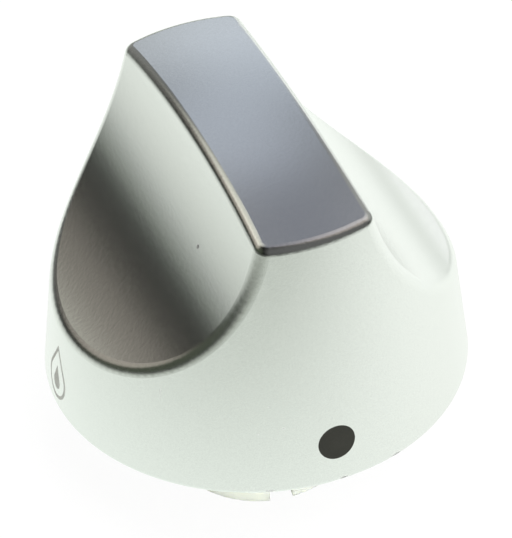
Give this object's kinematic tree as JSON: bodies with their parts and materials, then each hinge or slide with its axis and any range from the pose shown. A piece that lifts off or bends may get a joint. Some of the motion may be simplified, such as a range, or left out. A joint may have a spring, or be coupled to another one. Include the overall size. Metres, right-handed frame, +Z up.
{
  "type": "stove knob",
  "caption": "Gas hob control knob: drafted silver skirt with two finger scoops that leave an upright crowned grip, off-white stem with a D-bore and leaf spring below.",
  "frame": {"origin": "on the spindle's axis at the stem's free end, which the knob stands on", "axes": "+Z up along the spindle's axis towards the crowned grip, Y along the grip with its pointer end at -Y, flame mark by -X"},
  "size_m": [0.046, 0.046, 0.0465],
  "materials": {
    "silver_lacquer": "satin silver metallic lacquer on a moulded plastic shell",
    "natural_plastic": "uncoloured off-white moulding, slightly translucent",
    "spring_steel": "plain spring steel strip",
    "mark_fill": "dark grey paint in a shallow recess",
    "sign_fill": "mid grey paint in a shallow recess"
  },
  "bodies": {
    "root": {"knob_shell": "silver_lacquer", "spindle_hub": "natural_plastic", "grip_spring": "spring_steel", "off_mark": "mark_fill", "flame_mark": "sign_fill"}
  },
  "joints": []
}
